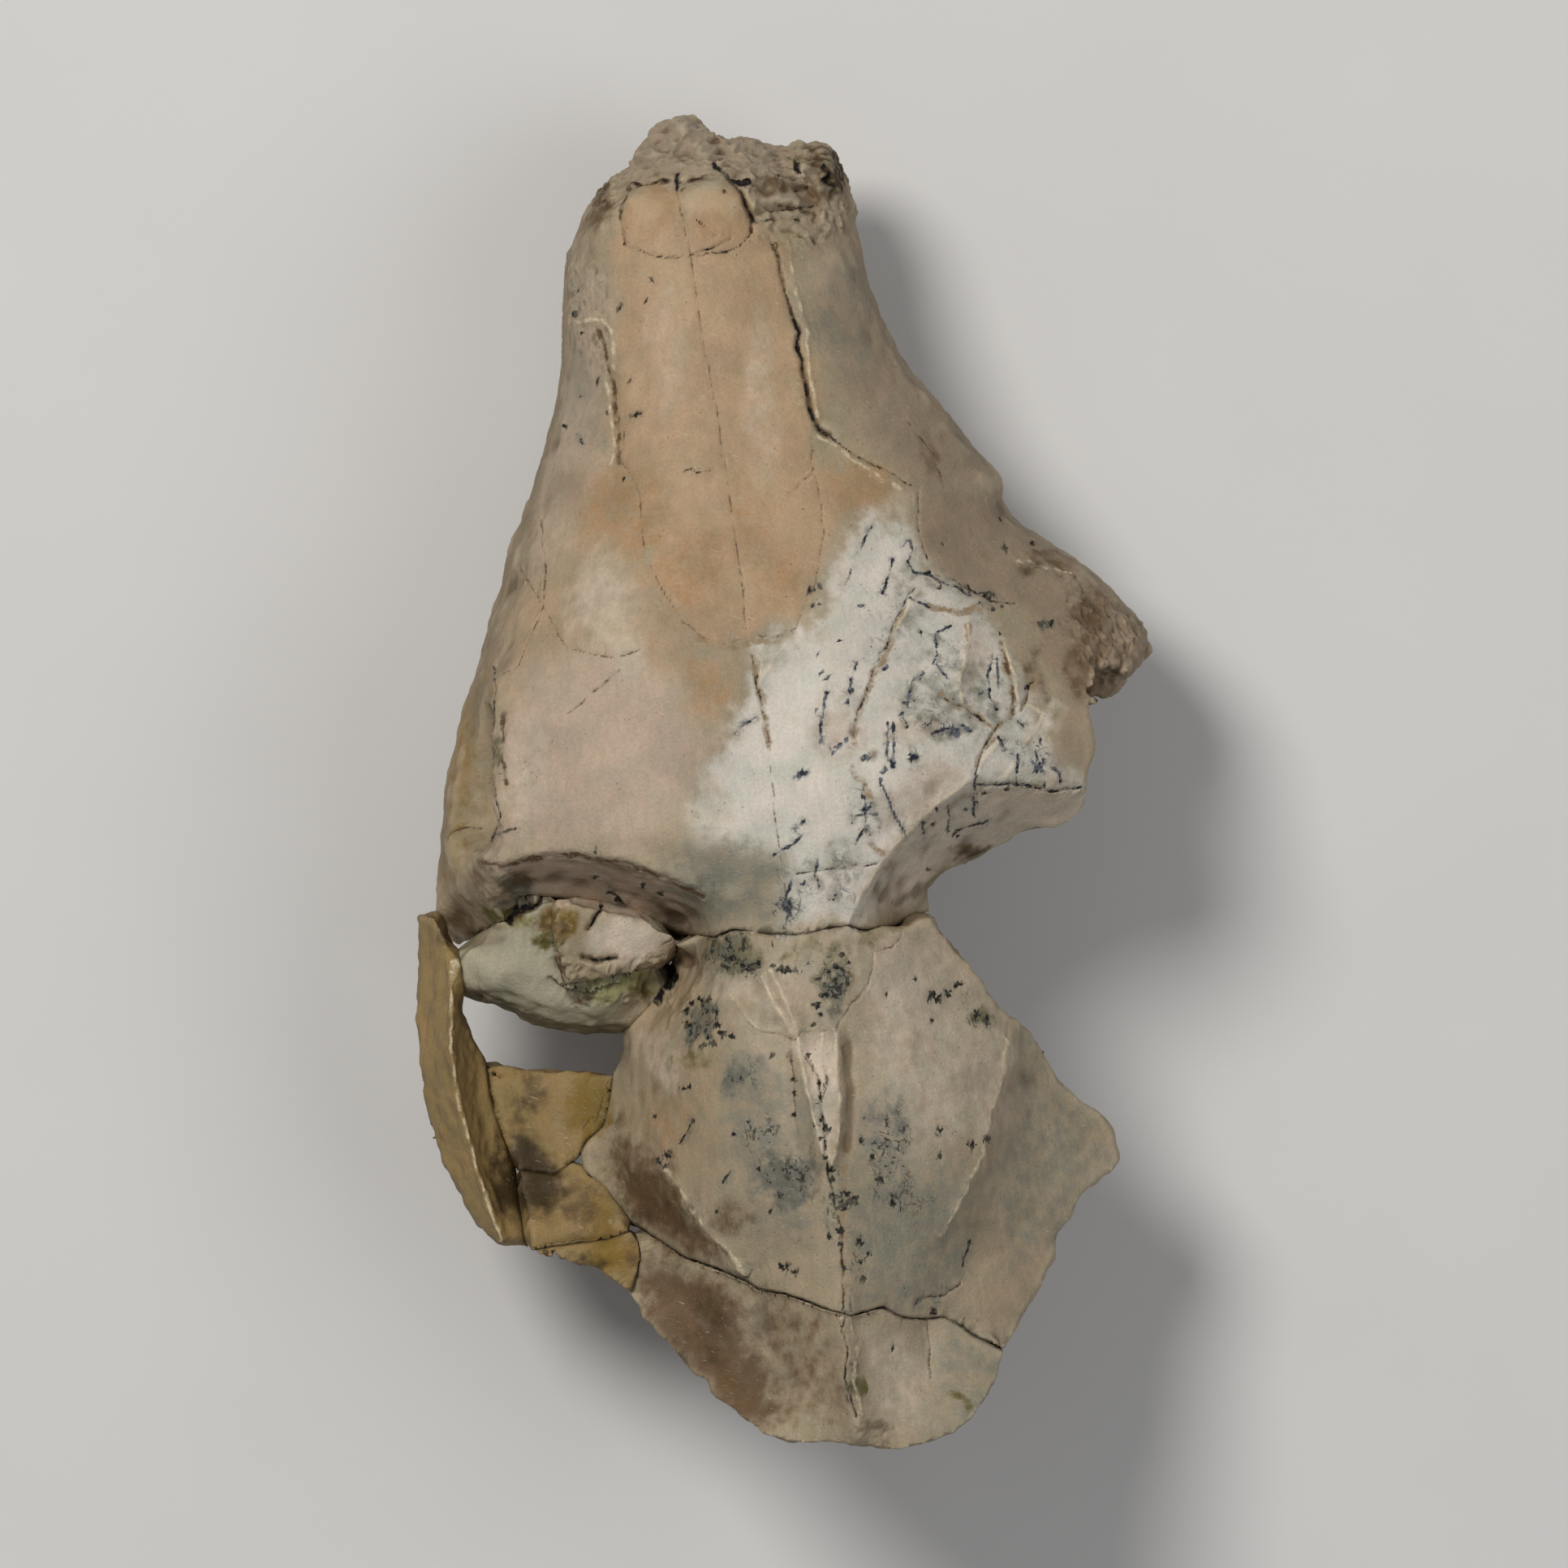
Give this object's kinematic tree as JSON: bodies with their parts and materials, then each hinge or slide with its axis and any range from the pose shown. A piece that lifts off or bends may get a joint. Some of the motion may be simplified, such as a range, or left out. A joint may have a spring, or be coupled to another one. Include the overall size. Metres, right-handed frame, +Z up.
{
  "type": "fossil oreodont skull",
  "caption": "Weathered fossil cranium of a small plant-eating hoofed mammal, without its lower jaw, broken and rejoined, lying on its cheek teeth.",
  "frame": {"origin": "centre of the bounding box in plan, on the plane that the cheek teeth stand on", "axes": "+Y towards the snout along the midline, +X towards the animal's right side, +Z up through the skull roof"},
  "size_m": [0.1236, 0.2126, 0.0817],
  "materials": {
    "weathered_bone": "matt mineralised bone, tan to cream",
    "ochre_bone": "matt yellow-brown bone",
    "grey_green_rock": "matt fine-grained rock",
    "tooth_enamel": "satin brown enamel"
  },
  "bodies": {
    "root": {"face": "weathered_bone", "braincase": "weathered_bone", "occiput": "weathered_bone", "left_arch": "ochre_bone", "glenoid_front": "ochre_bone", "glenoid_rear": "ochre_bone", "corner_chip": "ochre_bone", "matrix_lump": "grey_green_rock", "bone_block": "weathered_bone", "left_premolar_2": "tooth_enamel", "left_premolar_3": "tooth_enamel", "left_premolar_4": "tooth_enamel", "left_molar_1": "tooth_enamel", "left_molar_2": "tooth_enamel", "left_molar_3": "tooth_enamel", "right_premolar_2": "tooth_enamel", "right_premolar_3": "tooth_enamel", "right_premolar_4": "tooth_enamel", "right_molar_1": "tooth_enamel", "right_molar_2": "tooth_enamel", "right_molar_3": "tooth_enamel"}
  },
  "joints": []
}
